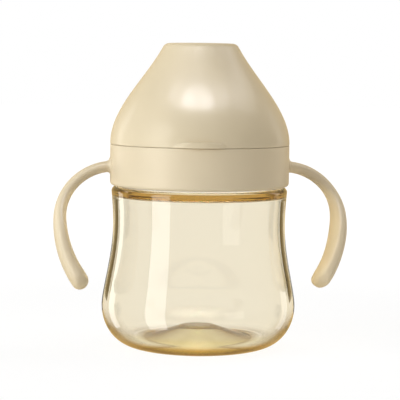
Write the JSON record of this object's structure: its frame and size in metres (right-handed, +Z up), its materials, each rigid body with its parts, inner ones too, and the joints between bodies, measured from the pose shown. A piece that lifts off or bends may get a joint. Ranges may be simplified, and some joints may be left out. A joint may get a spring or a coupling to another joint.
{
  "type": "sippy cup",
  "caption": "Handled training cup: see-through amber bottle, cream screw collar with open leaning handles, soft spout with valves inside, and a pull-off domed cap.",
  "frame": {"origin": "middle of the standing ring, on the surface that the cup stands on", "axes": "+Z up along the cup's axis, +X through the right handle, -Y the front with the cap's thumb lip"},
  "size_m": [0.115, 0.0764, 0.119],
  "materials": {
    "amber_clear": "see-through amber, polished",
    "cream_gloss": "polished cream",
    "cream_satin": "satin cream",
    "white_satin": "satin off-white",
    "silicone": "milky silicone, matte"
  },
  "bodies": {
    "bottle": {"bottle": "amber_clear"},
    "spout_unit": {"seal_ring": "silicone", "spout_carrier": "white_satin", "soft_spout": "silicone", "flow_valve": "silicone", "vent_valve": "silicone"},
    "collar": {"handle_collar": "cream_satin"},
    "cap": {"dome_cap": "cream_gloss", "cap_seal": "silicone"}
  },
  "joints": [
    {"name": "collar_rise", "type": "slide", "parent": "bottle", "child": "spout_unit", "axis": [0, 0, 1], "range_m": [0, 0.005]},
    {"name": "collar_turn", "type": "hinge", "parent": "spout_unit", "child": "collar", "pos_m": [0, 0, 0.07], "axis": [0, 0, 1], "range_deg": [0, 450]},
    {"name": "cap_lift", "type": "slide", "parent": "collar", "child": "cap", "axis": [0, 0, 1], "range_m": [0, 0.05]}
  ],
  "couplings": [
    {"joint": "collar_rise", "follows": "collar_turn", "m_per_rad": 0.00063662}
  ]
}
